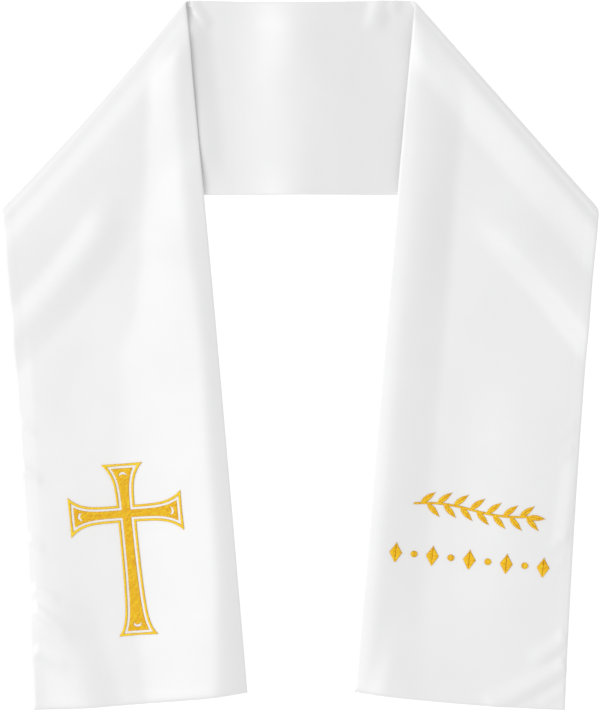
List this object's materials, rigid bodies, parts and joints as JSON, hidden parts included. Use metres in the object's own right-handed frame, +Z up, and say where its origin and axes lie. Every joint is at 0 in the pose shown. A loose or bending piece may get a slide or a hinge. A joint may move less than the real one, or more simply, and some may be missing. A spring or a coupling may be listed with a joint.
{
  "type": "baptism stole",
  "caption": "White satin baptism stole laid flat in a U with diagonal folds, a gold embroidered cross and a leaf sprig ornament.",
  "frame": {"origin": "under the middle of the laid-out stole's box, on the surface that it lies on", "axes": "+X from the front with the cross to the front with the sprig, +Y from the ends of the fronts to the neck band, +Z up from the surface"},
  "size_m": [0.3766, 0.449, 0.0106],
  "materials": {
    "satin": "bright white polyester satin with a soft lengthwise sheen",
    "gold_thread": "golden yellow rayon embroidery thread, lustrous satin stitch and fill"
  },
  "bodies": {
    "root": {"neck_band": "satin", "left_front": "satin", "right_front": "satin", "cross_border": "gold_thread", "cross_fill": "gold_thread", "sprig": "gold_thread", "lozenge_1": "gold_thread", "lozenge_2": "gold_thread", "lozenge_3": "gold_thread", "lozenge_4": "gold_thread", "lozenge_5": "gold_thread", "dot_1": "gold_thread", "dot_2": "gold_thread", "dot_3": "gold_thread", "dot_4": "gold_thread"}
  },
  "joints": []
}
